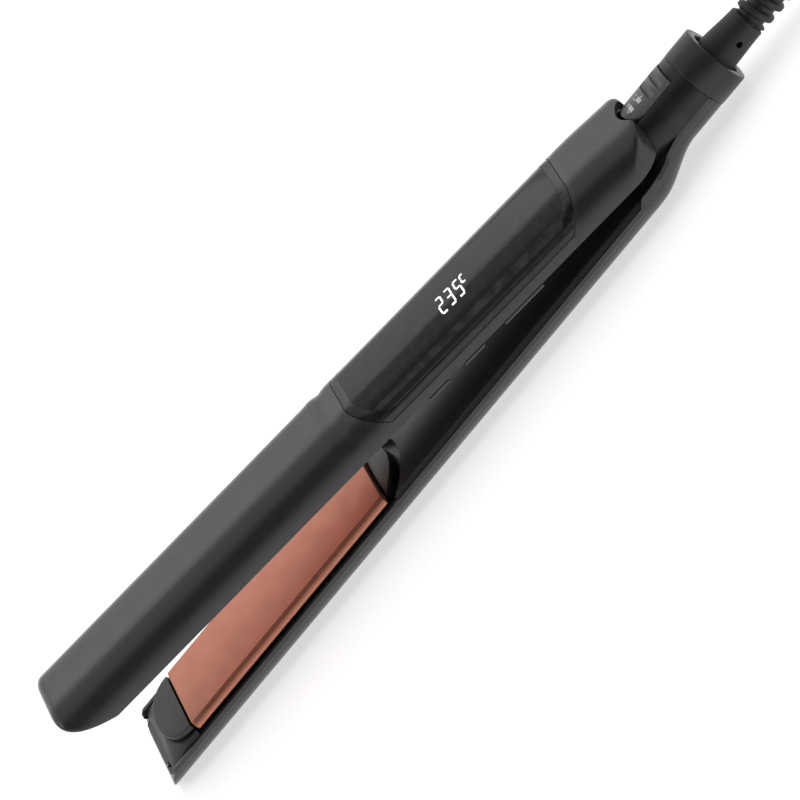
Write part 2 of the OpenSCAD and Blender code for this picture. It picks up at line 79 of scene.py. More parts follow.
def make_camera():
    """Camera of long focal length, turned so that the iron lies across the picture."""
    az, el, roll = math.radians(14.75), math.radians(30.4), math.radians(-57.85)
    back = Vector((math.sin(az) * math.cos(el), -math.cos(az) * math.cos(el), math.sin(el)))
    side = Vector((math.cos(az), math.sin(az), 0))
    rise = back.cross(side)
    right = side * math.cos(roll) + rise * math.sin(roll)
    up = -side * math.sin(roll) + rise * math.cos(roll)
    aim = low(100, 0, 0)
    aside, above, away = 0.003615, 0.014012, 1.9991
    place = aim + right * aside + up * above + back * away
    data = bpy.data.cameras.new("camera")
    data.sensor_width = 36
    data.lens = 304.35
    data.clip_start = 0.1
    data.clip_end = 20
    data.dof.use_dof = False
    cam = bpy.data.objects.new("camera", data)
    bpy.context.collection.objects.link(cam)
    turn = Matrix((right, up, back)).transposed()
    cam.matrix_world = Matrix.Translation(place) @ turn.to_4x4()
    bpy.context.scene.camera = cam


make_camera()
bpy.context.scene.view_settings.view_transform = "Standard"


# ---------- materials ----------

def ramp(nt, source, stops):
    """Colour ramp fed by source; stops are (position, value or colour)."""
    node = nt.nodes.new("ShaderNodeValToRGB")
    nt.links.new(source, node.inputs["Fac"])
    els = node.color_ramp.elements
    while len(els) < len(stops):
        els.new(0.5)
    for el, (pos, value) in zip(els, stops):
        el.position = pos
        el.color = (*value, 1) if hasattr(value, "__len__") else (value, value, value, 1)
    return node.outputs["Color"]


def noise(nt, coords, scale, detail=3.0, rough=0.5, stretch=None):
    """Noise from 0 to 1, finer along the axes that stretch names."""
    if stretch:
        mapping = nt.nodes.new("ShaderNodeMapping")
        mapping.inputs["Scale"].default_value = stretch
        nt.links.new(coords, mapping.inputs["Vector"])
        coords = mapping.outputs["Vector"]
    node = nt.nodes.new("ShaderNodeTexNoise")
    node.inputs["Scale"].default_value = scale
    node.inputs["Detail"].default_value = detail
    node.inputs["Roughness"].default_value = rough
    nt.links.new(coords, node.inputs["Vector"])
    return node.outputs["Fac"]


def mix(nt, fac, a, b, kind="MIX"):
    """Colour a blended with b; each input is an output socket, a colour or a number."""
    node = nt.nodes.new("ShaderNodeMix")
    node.data_type = "RGBA"
    node.blend_type = kind
    for value, socket in ((fac, node.inputs[0]), (a, node.inputs[6]), (b, node.inputs[7])):
        if hasattr(value, "is_output"):
            nt.links.new(value, socket)
        elif hasattr(value, "__len__"):
            socket.default_value = (*value, 1)
        else:
            socket.default_value = value
    return node.outputs[2]


def material(name, colour, rough, metal=0.0, tone=0.12, grain=2600.0, bump=0.05, spread=0.06,
             wear_and_edge_highlight=0.25, stretch=None, coat=0.0, specular=0.5, glow=None, worn_and_highlight_colour=None):
    """Procedural finish: colour with slow and fine variation, lighter pointy edges (scuffing, and on the
    glossy bezel and lens a painted edge highlight), uneven roughness and grain.
    """
    mat = bpy.data.materials.new(name)
    mat.use_nodes = True
    nt = mat.node_tree
    bsdf = nt.nodes["Principled BSDF"]
    coords = nt.nodes.new("ShaderNodeTexCoord").outputs["Object"]
    geometry = nt.nodes.new("ShaderNodeNewGeometry")
    slow = noise(nt, coords, 38.0, 4.0, 0.55)
    fine = noise(nt, coords, grain, 2.0, 0.6, stretch)
    deep = tuple(c * (1 - tone) for c in colour)
    light = tuple(min(1.0, c * (1 + tone)) for c in colour)
    body = mix(nt, slow, deep, light)
    speck = mix(nt, ramp(nt, fine, [(0.35, 0.0), (0.75, 0.35)]), body, light)
    # edges lighter where the surface is pointy: scuffing on most finishes, a painted edge highlight on the
    # glossy bezel and lens
    edge = ramp(nt, geometry.outputs["Pointiness"], [(0.5, 0.0), (0.58, wear_and_edge_highlight)])
    patchy = ramp(nt, noise(nt, coords, 300.0, 4.0), [(0.35, 0.3), (0.65, 1.0)])
    edge = mix(nt, 1.0, edge, patchy, "MULTIPLY")
    worn_and_highlight_colour = worn_and_highlight_colour or tuple(min(1.0, c * 1.7 + 0.03) for c in colour)
    nt.links.new(mix(nt, edge, speck, worn_and_highlight_colour), bsdf.inputs["Base Color"])
    nt.links.new(ramp(nt, noise(nt, coords, 140.0, 5.0, 0.6), [
        (0.25, max(0.02, rough - spread)), (0.75, min(1.0, rough + spread))]), bsdf.inputs["Roughness"])
    node = nt.nodes.new("ShaderNodeBump")
    node.inputs["Strength"].default_value = bump
    node.inputs["Distance"].default_value = 0.0002
    nt.links.new(fine, node.inputs["Height"])
    nt.links.new(node.outputs["Normal"], bsdf.inputs["Normal"])
    bsdf.inputs["Metallic"].default_value = metal
    bsdf.inputs["Specular IOR Level"].default_value = specular
    bsdf.inputs["Coat Weight"].default_value = coat
    bsdf.inputs["Coat Roughness"].default_value = 0.04
    if glow:
        bsdf.inputs["Emission Color"].default_value = (*colour, 1)
        bsdf.inputs["Emission Strength"].default_value = glow
    return mat


M = {
    "shell": material("shell_soft_touch", (0.028, 0.028, 0.031), 0.27, tone=0.08, bump=0.10, spread=0.05),
    "shell_low": material("lower_soft_touch", (0.026, 0.026, 0.028), 0.30, tone=0.08, bump=0.10, spread=0.05),
    "liner": material("liner_satin", (0.036, 0.036, 0.038), 0.36, tone=0.1, bump=0.08, spread=0.05),
    "neck": material("neck_matte", (0.014, 0.014, 0.015), 0.34, specular=0.35, bump=0.14, grain=2200),
    "cap": material("cap_matte", (0.020, 0.020, 0.022), 0.36, specular=0.4, bump=0.14, grain=2200),
    "copper": material("copper_ceramic", (0.55, 0.215, 0.14), 0.40, metal=0.75, tone=0.05, bump=0.05,
                       grain=3200, spread=0.05, wear_and_edge_highlight=0.15, worn_and_highlight_colour=(0.9, 0.55, 0.42)),
    "ceramic": material("heater_ceramic", (0.75, 0.71, 0.63), 0.6, bump=0.2),
    "spring": material("spring_steel", (0.52, 0.52, 0.54), 0.32, metal=1.0, stretch=(1, 30, 1), grain=300),
    "carrier": material("carrier_resin", (0.075, 0.062, 0.05), 0.6, bump=0.25, grain=900),
    "silicone": material("silicone_ring", (0.45, 0.07, 0.035), 0.55, bump=0.12),
    "fuse": material("fuse_metal", (0.7, 0.7, 0.72), 0.25, metal=1.0),
    "wire_white": material("wire_white", (0.72, 0.70, 0.65), 0.5, stretch=(8, 1, 1)),
    "wire_red": material("wire_red", (0.42, 0.05, 0.03), 0.5, stretch=(8, 1, 1)),
    "hinge": material("hinge_black", (0.03, 0.03, 0.031), 0.45, bump=0.2),
    "slider": material("slider_satin", (0.085, 0.085, 0.09), 0.40, bump=0.12, grain=2400),
    "bush": material("bush_acetal", (0.09, 0.09, 0.093), 0.45),
    "relief": material("relief_rubber", (0.013, 0.013, 0.014), 0.55, bump=0.22, grain=1800),
    # bezel and lens: the pale grey on their rounded edges is a painted edge highlight
    "bezel": material("bezel_gloss", (0.010, 0.0105, 0.011), 0.07, specular=0.34, bump=0.01, wear_and_edge_highlight=0.5,
                      spread=0.02, worn_and_highlight_colour=(0.12, 0.11, 0.11)),
    "lens": material("lens_smoke", (0.022, 0.021, 0.022), 0.06, specular=0.20, bump=0.01, wear_and_edge_highlight=0.5,
                     spread=0.02, worn_and_highlight_colour=(0.12, 0.11, 0.11)),
    "digit": material("digit_light", (0.86, 0.92, 1.0), 0.4, glow=1.1),
    "module": material("led_module", (0.65, 0.65, 0.62), 0.5),
    "board": material("board_mask", (0.02, 0.14, 0.045), 0.35, grain=700),
    "switch": material("switch_black", (0.02, 0.02, 0.02), 0.4),
    "button": material("button_satin", (0.05, 0.05, 0.053), 0.36, bump=0.1),
    "bead": material("thermistor_bead", (0.62, 0.42, 0.22), 0.3),
    "cord": material("cord_rubber", (0.014, 0.014, 0.015), 0.47, bump=0.25, grain=1500, stretch=(1, 1, 1)),
    "tie": material("tie_woven", (0.012, 0.012, 0.013), 0.75, bump=0.6, grain=1400, stretch=(1, 4, 1)),
    "plug": material("plug_rubber", (0.013, 0.013, 0.014), 0.45, bump=0.2, grain=1700),
    "pin": material("pin_metal", (0.62, 0.62, 0.64), 0.22, metal=1.0, stretch=(1, 20, 20), grain=400),
    "icon": material("icon_print", (0.62, 0.62, 0.64), 0.5, bump=0.05),
    "pad": material("pad_matte", (0.035, 0.035, 0.038), 0.45, bump=0.12),
    # near black: painted shade for the gap round the display, the channels beside the plates and the crescent
    # step
    "dark": material("painted_shade_black", (0.004, 0.004, 0.004), 0.6),
}

CAD_FINISH = {
    "lower_shell": "shell_low", "lower_liner": "liner", "lower_plate": "copper", "lower_heater": "ceramic",
    "lower_clamp": "spring", "lower_carrier": "carrier", "lower_cushions": "silicone",
    "thermal_fuse": "fuse", "lower_wires": "wire_white", "lower_screws": "pin", "hinge_block": "hinge",
    "hinge_pin": "pin", "opening_spring": "spring", "neck_cover": "neck", "lock_slider": "slider",
    "lock_bolt": "spring", "end_cap": "cap", "swivel_bush": "bush", "strain_relief": "relief",
    "upper_shell": "shell", "upper_liner": "liner", "upper_plate": "copper", "upper_heater": "ceramic",
    "upper_clamp": "spring", "upper_carrier": "carrier", "upper_cushions": "silicone",
    "thermistor": "bead", "upper_wires": "wire_red", "upper_screws": "pin", "hinge_tongue": "spring",
    "display_bezel": "bezel", "display_lens": "lens", "display_digits": "digit", "led_module": "module",
    "control_board": "board", "tact_switches": "switch", "minus_button": "button",
    "plus_button": "button", "power_button": "button", "cord_lead": "cord", "cord_hank": "cord",
    "cord_tail": "cord", "cord_tie": "tie", "plug_body": "plug", "plug_pins": "pin",
}
for name, finish in CAD_FINISH.items():
    mesh = NODES[name].data
    mesh.materials.clear()
    mesh.materials.append(M[finish])

BODY_OF = {}
for body_name, members in frame["record"]["behaviour"]["bodies"].items():
    for name in members:
        BODY_OF[name] = body_name


# ---------- making pieces ----------

def make(name, verts, faces, finish, body, stands_for=(), sharp=30.0):
    """Visible piece on a body, standing for the CAD nodes it is a part of."""
    mesh = bpy.data.meshes.new(name)
    mesh.from_pydata([tuple(v) for v in verts], [], faces)
    obj = bpy.data.objects.new(name, mesh)
    bpy.context.collection.objects.link(obj)
    tidy(obj, sharp)
    mesh.materials.append(M[finish])
    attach(obj, body)
    if stands_for:
        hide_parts(*stands_for)
    return obj


def tidy(obj, sharp):
    """Welds the mesh, turns its faces outward and keeps edges over sharp degrees crisp."""
    bm = bmesh.new()
    bm.from_mesh(obj.data)
    bmesh.ops.remove_doubles(bm, verts=bm.verts, dist=2e-6)
    bmesh.ops.recalc_face_normals(bm, faces=bm.faces)
    limit = math.radians(sharp)
    for face in bm.faces:
        face.smooth = True
    for edge in bm.edges:
        if len(edge.link_faces) == 2:
            edge.smooth = edge.calc_face_angle(0.0) < limit
    bm.to_mesh(obj.data)
    bm.free()


def copy_of(node):
    """Piece in the place of a CAD node, with the node's own shape."""
    source = NODES[node]
    mesh = source.data.copy()
    mesh.transform(source.matrix_world)
    obj = bpy.data.objects.new(node + "_visual", mesh)
    bpy.context.collection.objects.link(obj)
    bm = bmesh.new()
    bm.from_mesh(mesh)
    bmesh.ops.remove_doubles(bm, verts=bm.verts, dist=2e-6)
    bmesh.ops.recalc_face_normals(bm, faces=bm.faces)
    bmesh.ops.dissolve_limit(bm, angle_limit=math.radians(0.6), verts=bm.verts, edges=bm.edges)
    for face in bm.faces:
        face.smooth = True
    bm.to_mesh(mesh)
    bm.free()
    mesh.materials.clear()
    mesh.materials.append(M[CAD_FINISH[node]])
    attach(obj, BODY_OF[node])
    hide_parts(node)
    return obj


def round_edges(obj, width, segments=3, angle=32.0):
    """Rounds the edges over angle degrees, width in mm."""
    mod = obj.modifiers.new("rounded", "BEVEL")
    mod.width = width * MM
    mod.segments = segments
    mod.limit_method = "ANGLE"
    mod.angle_limit = math.radians(angle)
    mod.harden_normals = True
    mod.use_clamp_overlap = True
    mod.miter_outer = "MITER_ARC"


# ---------- cord ----------

CORD_D = 6.5
EXIT = Vector((163.006, 0.0, 10.017))
LEAD = [(166, 0, 9.86), (170, -0.3, 9.4), (176, -1.6, 7.6), (182, -4, 6), (188, -7.6, 4.8),
        (194, -12, 4.1), (200, -16.6, 3.9), (206, -20.6, 3.85), (212, -23.6, 3.85),
        (219, -25.5, 3.85), (226, -26, 3.85), (231, -26, 3.85)]
TAIL = [(304, 19.5, 16.85), (297, 19.4, 17), (290, 18.4, 18), (283, 16, 19.9), (276, 12.4, 22.3),
        (269, 8, 24.6), (262, 4, 26.2), (255, 1.2, 27), (250, 0.2, 27.1), (246, 0, 27.1)]
NEAR_X, FAR_X = 236.0, 308.0       # the hank's two turning points
WIDE, TIGHT = 26.0, 19.5           # radii of its outer and inner turns
LAYERS = (3.85, 10.35, 16.85)      # heights of its layers


def through(points, step=1.5):
    """Smooth line through points, in mm."""
    pts = [Vector(p) for p in points]
    pts = [2 * pts[0] - pts[1]] + pts + [2 * pts[-1] - pts[-2]]
    line = []
    for a, b, c, d in zip(pts, pts[1:], pts[2:], pts[3:]):
        count = max(1, round((c - b).length / step))
        for i in range(count):
            t = i / count
            line.append(0.5 * (2 * b + (c - a) * t + (2 * a - 5 * b + 4 * c - d) * t * t
                               + (3 * b - a - 3 * c + d) * t ** 3))
    line.append(pts[-2])
    return line


def hank_line():
    """Centreline of the wound cord: each turn moves one place on, as in a neat bundle."""
    places = [(WIDE, 0), (TIGHT, 0), (TIGHT, 1), (WIDE, 1), (WIDE, 2), (TIGHT, 2)]
    starts = [115.0, 94.0, 72.0, 50.0, 28.0]     # where each turn begins to move on, from the far end
    move, arc_long = 25.0, 71.5
    along, around = 36, 40                       # points on a straight and on an arc
    straight = FAR_X - NEAR_X
    line = []
    for turn, (radius, layer) in enumerate(places):
        z = LAYERS[layer]
        line += [Vector((NEAR_X + straight * i / along, -radius, z)) for i in range(along)]
        arc = [math.radians(-90 + 180 * i / around) for i in range(around)]
        line += [Vector((FAR_X + radius * math.cos(a), radius * math.sin(a), z)) for a in arc]
        if turn == len(places) - 1:
            line.append(Vector((FAR_X, radius, z)))
            break
        next_radius, next_layer = places[turn + 1]
        for i in range(along + around):
            on_arc = i >= along
            q = straight + arc_long * (i - along) / around if on_arc else straight * i / along
            s = smooth((q - starts[turn]) / move)
            r = radius + (next_radius - radius) * s
            h = z + (LAYERS[next_layer] - z) * s
            if on_arc:
                a = math.radians(90 + 180 * (i - along) / around)
                line.append(Vector((NEAR_X + r * math.cos(a), r * math.sin(a), h)))
            else:
                line.append(Vector((FAR_X - q, r, h)))
    return line


def line_length(line):
    return sum((b - a).length for a, b in zip(line, line[1:]))


def make_cord():
    """Free cord from the strain relief to the plug, and its length in metres."""
    line = through([EXIT, *LEAD]) + hank_line() + through(TAIL)
    data = bpy.data.curves.new("cord", "CURVE")
    data.dimensions = "3D"
    data.bevel_depth = CORD_D / 2 * MM
    data.bevel_resolution = 5
    data.use_fill_caps = True
    spline = data.splines.new("POLY")
    spline.points.add(len(line) - 1)
    for point, at in zip(spline.points, line):
        point.co = (*(at * MM), 1)
    spline.use_smooth = True
    obj = bpy.data.objects.new("cord", data)
    bpy.context.collection.objects.link(obj)
    data.materials.append(M["cord"])
    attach(obj, "lower_arm")
    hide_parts("cord_lead", "cord_hank", "cord_tail")
    return obj, line_length(line) * MM


cord_obj, cord_length = make_cord()


# ---------- own pieces ----------

def grid_faces(rings, count, wrap=False):
    """Faces between neighbouring rings of count points each."""
    faces = []
    for r in range(rings - 1):
        for i in range(count if wrap else count - 1):
            j = (i + 1) % count
            faces.append((r * count + i, r * count + j, (r + 1) * count + j, (r + 1) * count + i))
    return faces


def tube_faces(rings, count):
    """Faces of a solid between closed rings of count points, capped at both ends."""
    last = (rings - 1) * count
    caps = [tuple(range(count)), tuple(range(last, last + count))]
    return grid_faces(rings, count, wrap=True) + caps


def zip_ring(start, count):
    """Closes a ring that is the same on both sides by joining its halves."""
    faces = []
    for i in range(count // 2 - 1):
        faces.append((start + i, start + i + 1, start + count - 2 - i, start + count - 1 - i))
    return faces


def prism(name, outline, low_z, high_z, place):
    """Cutter with an upright wall round an outline in plan."""
    verts = [place(x, y, z) for z in (low_z, high_z) for x, y in outline]
    return plain(name, verts, tube_faces(2, len(outline)))


def plain(name, verts, faces):
    """Cutter or other helper that doesn't stay in the scene."""
    mesh = bpy.data.meshes.new(name)
    mesh.from_pydata([tuple(v) for v in verts], [], faces)
    bm = bmesh.new()
    bm.from_mesh(mesh)
    bmesh.ops.recalc_face_normals(bm, faces=bm.faces)
    bm.to_mesh(mesh)
    bm.free()
    obj = bpy.data.objects.new(name, mesh)
    bpy.context.collection.objects.link(obj)
    return obj


def settle(obj, cutters=()):
    """Applies the modifiers of obj and removes its cutters."""
    bpy.context.view_layer.update()
    done = bpy.data.meshes.new_from_object(obj.evaluated_get(bpy.context.evaluated_depsgraph_get()))
    obj.modifiers.clear()
    obj.data = done
    for cutter in cutters:
        bpy.data.objects.remove(cutter)


def cut(obj, cutter, crossing=False):
    """Takes cutter away from obj; crossing is for a cutter that meets walls meeting each other."""
    mod = obj.modifiers.new("cut", "BOOLEAN")
    mod.operation = "DIFFERENCE"
    mod.solver = "EXACT"
    mod.use_self = crossing
    mod.use_hole_tolerant = crossing
    mod.object = cutter


def circle(cx, cy, r, count=64):
    """Outline of a circle in plan."""
    return [(cx + r * math.cos(2 * math.pi * i / count), cy + r * math.sin(2 * math.pi * i / count))
            for i in range(count)]


def rounded_plan(x0, x1, half, corner, count=12):
    """Outline of a rectangle with round corners in plan."""
    outline = []
    for cx, cy, start in ((x1 - corner, half - corner, 0), (x0 + corner, half - corner, 90),
                          (x0 + corner, corner - half, 180), (x1 - corner, corner - half, 270)):
        for i in range(count + 1):
            a = math.radians(start + 90 * i / count)
            outline.append((cx + corner * math.cos(a), cy + corner * math.sin(a)))
    return outline


def arch(inset, half, top, corner, rim, count=16, flat=8):
    """Section of an arm from its near edge over the top to its far edge, as (y, z)."""
    h, t, r = half - inset, top - inset, max(0.4, corner - inset)
    side = [(-h, rim)]
    side += [(r - h + r * math.cos(a), max(rim, t - r + r * math.sin(a)))
             for a in (math.pi - math.pi / 2 * i / count for i in range(count + 1))]
    side += [((r - h) * (1 - i / flat), t) for i in range(1, flat)]
    return side + [(-y, z) for y, z in reversed(side)]


def nose_at(form, z):
    """x of an arm's front at height z: form is (reach, curvature, height of the foremost point)."""
    return form[1] * (form[2] - z) ** 2 - form[0]


def rear_at(y, rear):
    """x of the upper arm's rear edge, rounded in plan towards both sides."""
    over = max(0.0, abs(y) - (HALF - CORNER))
    return rear - CORNER + math.sqrt(max(0.0, CORNER * CORNER - over * over))


def make_upper_shell():
    """Upper shell with a crease behind the plate and openings for the panel and the neck."""
    form, rear, rim = (25.2, 0.168, 11.0), 223.0, 2.0
    front_r, rear_r, steps = 2.6, 1.6, 170

    def section(inset):
        return arch(inset, HALF, UPPER_TOP, CORNER, rim)

    rings = []
    for inset in (10, 8, 6, 4.5, 3.4):
        rings.append([(nose_at(form, z), y, z) for y, z in section(inset)])
    for i in range(8):
        a = math.radians(84 - 12 * i)
        rings.append([(nose_at(form, z) + front_r * (1 - math.sin(a)), y, z)
                      for y, z in section(front_r * (1 - math.cos(a)))])
    body = section(0)
    for i in range(1, steps):
        u = i / steps
        ring = []
        for y, z in body:
            x0, x1 = nose_at(form, z) + front_r, rear_at(y, rear) - rear_r
            ring.append((x0 + (x1 - x0) * u, y, z))
        rings.append(ring)
    for i in range(7):
        a = math.radians(14 * i)
        rings.append([(rear_at(y, rear) - rear_r * (1 - math.sin(a)), y, z)
                      for y, z in section(rear_r * (1 - math.cos(a)))])
    for inset in (2.4, 4, 6.5, 9):
        rings.append([(rear_at(y, rear), y, z) for y, z in section(inset)])
    count = len(body)
    verts = []
    for ring in rings:
        for x, y, z in ring:
            near = smooth((z - 6.5) / 5) if y < 0 else smooth((z - 3) / 4)
            dip = -0.55 * math.exp(-((x - 97.4) / 1.5) ** 2) + 0.2 * math.exp(-((x - 93.6) / 2.0) ** 2)
            lift = dip * near
            drop = 1.3 * smooth((x - 200) / 23) * max(0.0, z - rim) / (UPPER_TOP - rim)
            scale = lift / max(6.0, math.hypot(y * 0.6, z))
            verts.append(high(x, y * (1 + scale * 0.4), z + lift * max(0.2, z / UPPER_TOP) - drop))
    faces = grid_faces(len(rings), count) + zip_ring(0, count) + zip_ring((len(rings) - 1) * count, count)
    obj = make("upper_shell_skin", verts, faces, "shell", "upper_arm", ("upper_shell",), sharp=40)
    mod = obj.modifiers.new("wall", "SOLIDIFY")
    mod.thickness = 1.5 * MM
    mod.offset = -1
    cutters = [
        prism("panel_cutter", rounded_plan(102.85, 196.05, 17.75, 10.2), 5.0, 22, high),
        prism("scoop_cutter", circle(228.0, 0, 8.2), -4, 30, high),
        prism("neck_cutter", [(205, -11.7), (245, -11.7), (245, 11.7), (205, 11.7)], -2, 3.2, high),
    ]
    tube = [high(x, y, z) for x in (206, 245) for y, z in circle(0, 0, 11.6)]
    cutters.append(plain("neck_round_cutter", tube, tube_faces(2, 64)))
    cut(obj, cutters[0])
    for cutter in cutters[1:]:
        cut(obj, cutter, crossing=True)
    round_edges(obj, 0.3, 3, 38)
    settle(obj, cutters)
    return obj


def make_lower_shell():
    """Lower shell with a sharp tip; its rear narrows in a double curve into the neck."""
    form, rim, edge_r, neck_x = (20.5, 0.083, LOWER_DEEP), 5, 0.5, 205

    def section(inset):
        return arch(inset, HALF, LOWER_DEEP, CORNER, rim)

    rings = []
    body = section(0)
    for inset in (7.6, 6, 4, 2, 0.9):
        rings.append([(nose_at(form, z), y, z) for y, z in section(inset)])
    for i in range(5):
        a = math.radians(80 - 20 * i)
        rings.append([(nose_at(form, z) + edge_r * (1 - math.sin(a)), y, z)
                      for y, z in section(edge_r * (1 - math.cos(a)))])
    for i in range(1, 60):
        u = i / 60
        rings.append([(nose_at(form, z) + edge_r + (neck_x - nose_at(form, z) - edge_r) * u, y, z)
                      for y, z in body])
    for i in range(77):
        x = neck_x + 0.5 * i
        s = smooth((x - 212) / 18)
        half, deep, corner = HALF - 7.1 * s, LOWER_DEEP - 2.1 * smooth((x - 208) / 22), CORNER - 1.1 * s
        narrow_rim = rim - 2.3 * smooth((x - 206) / 3.5)
        rings.append([(x, y, z) for y, z in arch(0, half, deep, corner, narrow_rim)])
    count = len(body)
    verts = [low(x, y, -z) for ring in rings for x, y, z in ring]
    obj = make("lower_shell_skin", verts, grid_faces(len(rings), count) + zip_ring(0, count), "shell_low",
               "lower_arm", ("lower_shell",), sharp=35)
    mod = obj.modifiers.new("wall", "SOLIDIFY")
    mod.thickness = 1.5 * MM
    mod.offset = -1
    cutters = [prism("screw_cutter", circle(x, 0, 2.3, 40), -16, -12, low) for x in (100, 150, 198)]
    for cutter in cutters:
        cut(obj, cutter)
    round_edges(obj, 0.28, 3, 38)
    settle(obj, cutters)
    return obj


def d_ring(a, b, n, z, count=41, back=-1.0):
    """Half of a superellipse that points to the tip, closed along a straight back edge."""
    ring = []
    for i in range(count):
        p = math.pi * (i / (count - 1) - 0.5)
        c, s = math.cos(p), math.sin(p)
        ring.append((back - a * abs(c) ** (2 / n), math.copysign(b * abs(s) ** (2 / n), s), z))
    return ring


def closed_stack(name, stack, place, finish, body, stands_for, sharp=40):
    """Solid between rings that lie over each other, closed at both ends."""
    verts = [place(*p) for ring in stack for p in ring]
    return make(name, verts, tube_faces(len(stack), len(stack[0])), finish, body, stands_for, sharp)


# rings of the pads round the plates' tip ends: reach, half width, superellipse power, depth
PAD = [(9.3, 13.4, 2.3, 0.22), (9.8, 14.0, 2.3, 0.2), (10.05, 14.35, 2.3, 0.3), (10.2, 14.5, 2.3, 0.6),
       (10.2, 14.5, 2.3, 1.7), (9.4, 13.6, 2.3, 2.1), (9.2, 12.8, 2.3, 4.5)]
LOWER_SURROUND = [(9.5, 13.6, 2.2, 2.9), (10.3, 14.8, 2.3, 2.5), (10.7, 15.6, 2.6, 2.4),
                  (11.2, 16.2, 3.4, 2.8), (12.15, 16.4, 6.0, 3.5), (13.4, 16.5, 12.0, 4.3),
                  (14.25, 16.55, 22.0, 4.95), (14.4, 16.5, 22.0, 5.2), (14.0, 16.3, 22.0, 6.5)]
UPPER_SURROUND = [(9.6, 12.7, 2.0, 1.6), (9.9, 13.1, 2.0, 1.2), (10.1, 13.8, 2.1, 1.1),
                  (10.4, 15.2, 2.6, 1.6), (10.5, 16.2, 3.2, 2.4), (10.5, 16.2, 3.2, 5.0)]


def make_nose(arm, place, sign, surround):
    """Pad at the tip end of an arm's plate, and the bed that it lies in."""
    for part, rings in (("pad", PAD), ("surround", surround)):
        stack = [d_ring(a, b, n, sign * z) for a, b, n, z in rings]
        closed_stack(f"{arm}_nose_{part}", stack, place, "pad", arm + "_arm", (arm + "_liner",))


def make_cover(name, body, place, sign, span, rim, top, node, crown=1.2, half=17.3):
    """Smooth crowned cover over the handle half of an arm."""
    x0, x1 = span
    section = []
    inner = half - 2.2
    for i in range(25):
        y = -inner + 2 * inner * i / 24
        section.append((y, top + crown * (abs(y) / inner) ** 2.4))
    edge = top + crown
    left = [(-half, rim), (-half, edge + 2.4)]
    left += [(-half + 2.2 * (1 - math.cos(a)), edge + 2.4 * (1 - math.sin(a)))
             for a in (math.pi / 12 * k for k in range(1, 6))]
    section = left + section + [(-y, z) for y, z in reversed(left)]
    stations = [x0 + (x1 - x0) * i / 40 for i in range(41)]
    verts = []
    for x in stations:
        end = max(0.0, 1 - (x - x0) / 1.2) + max(0.0, 1 - (x1 - x) / 1.2)
        for y, z in section:
            verts.append(place(x, y, sign * (z + 0.5 * end)))
    faces = tube_faces(len(stations), len(section))
    return make(name, verts, faces, "liner", body, (node,), sharp=45)


def make_lower_cover():
    """Cover of the lower arm's handle, with a crescent-shaped step behind the plate."""
    cover = make_cover("lower_cover", "lower_arm", low, -1, (91.0, 208.6), 5.4, 1.0, "lower_liner")
    crescent = prism("crescent", circle(84.6, -0.8, 17.8, 96), -4.9, 5, low)
    core = prism("crescent_core", circle(83.0, 0.8, 15.2, 96), -8, 8, low)
    cut(crescent, core)
    settle(crescent, [core])
    cut(cover, crescent)
    round_edges(cover, 0.25, 3, 40)
    settle(cover, [crescent])


def make_upper_cover():
    """Cover of the upper arm's handle, with a pocket for each button."""
    cover = make_cover("upper_cover", "upper_arm", high, 1, (91.0, 206.0), 4.2, 0.3, "upper_liner",
                       crown=0.3, half=17.4)
    pockets = []
    for _, _, middle, width in KEYS:
        x0, x1 = middle - width / 2 - 0.3, middle + width / 2 + 0.3
        pockets.append(prism("pocket", [(x0, -20), (x1, -20), (x1, -13), (x0, -13)], 0.1, 6, high))
    for pocket in pockets:
        cut(cover, pocket)
    round_edges(cover, 0.15, 2, 40)
    settle(cover, pockets)


def make_box(name, body, place, finish, node, x, y, z):
    """Rounded block between two corners, as part of a CAD node."""
    verts = [place(a, b, c) for c in z for a, b in ((x[0], y[0]), (x[1], y[0]), (x[1], y[1]), (x[0], y[1]))]
    round_edges(make(name, verts, tube_faces(2, 4), finish, body, (node,)), 0.15)


def make_bezel_flange():
    """Dark wall that closes the gap round the display panel from inside, near black as painted shade in the
    gap.
    """
    outer, inner = (arch(inset, HALF, UPPER_TOP, CORNER, 3.4) for inset in (1.62, 1.95))
    loop = outer + inner[::-1]
    verts = [high(x, y, z) for x in (100.5, 198.5) for y, z in loop]
    make("bezel_flange", verts, tube_faces(2, len(loop)), "dark", "upper_arm", ("display_bezel",))


def make_strip(name, body, place, sign, side, node):
    """Ledge beside a plate, near black as painted shade in the recessed channel between plate and shell."""
    section = [(14.0, 6.0), (14.0, 4.6), (14.4, 4.1), (15.6, 4.1), (16.3, 4.6), (16.3, 6.0)]
    verts = [place(x, side * y, sign * z) for x in (-3.0, 91.6) for y, z in section]
    return make(name, verts, tube_faces(2, len(section)), "dark", body, (node,))


def make_plate(name, body, place, sign, node):
    """Plate with a stepped, polished edge along both sides and small rounded corners."""
    widest, thick = 15.9, 3.0
    edge = [(13.9, 0.0), (14.35, 0.0), (14.55, 0.22), (14.75, 0.24), (14.95, 0.42), (15.2, 0.78),
            (15.35, 0.82), (15.6, 1.3), (15.85, 1.9), (widest, 2.5), (15.5, thick)]
    section = [(-y, z) for y, z in reversed(edge)] + [(-9, 0.0), (0, 0.0), (9, 0.0)] + edge
    ends = [(0.0, 0.9), (0.12, 0.5), (0.35, 0.2), (0.8, 0.0)]
    stations = [(x, shrink) for x, shrink in ends] + [(5 + 5 * i, 0.0) for i in range(17)]
    stations += [(PLATE_LONG - x, shrink) for x, shrink in reversed(ends)]
    verts = []
    for x, shrink in stations:
        for y, z in section:
            sunk = z + 0.12 * shrink * (abs(y) / widest)
            verts.append(place(x, y * (1 - 0.035 * shrink), sign * min(thick, sunk)))
    faces = tube_faces(len(stations), len(section))
    return make(name, verts, faces, "copper", body, (node,), sharp=22)


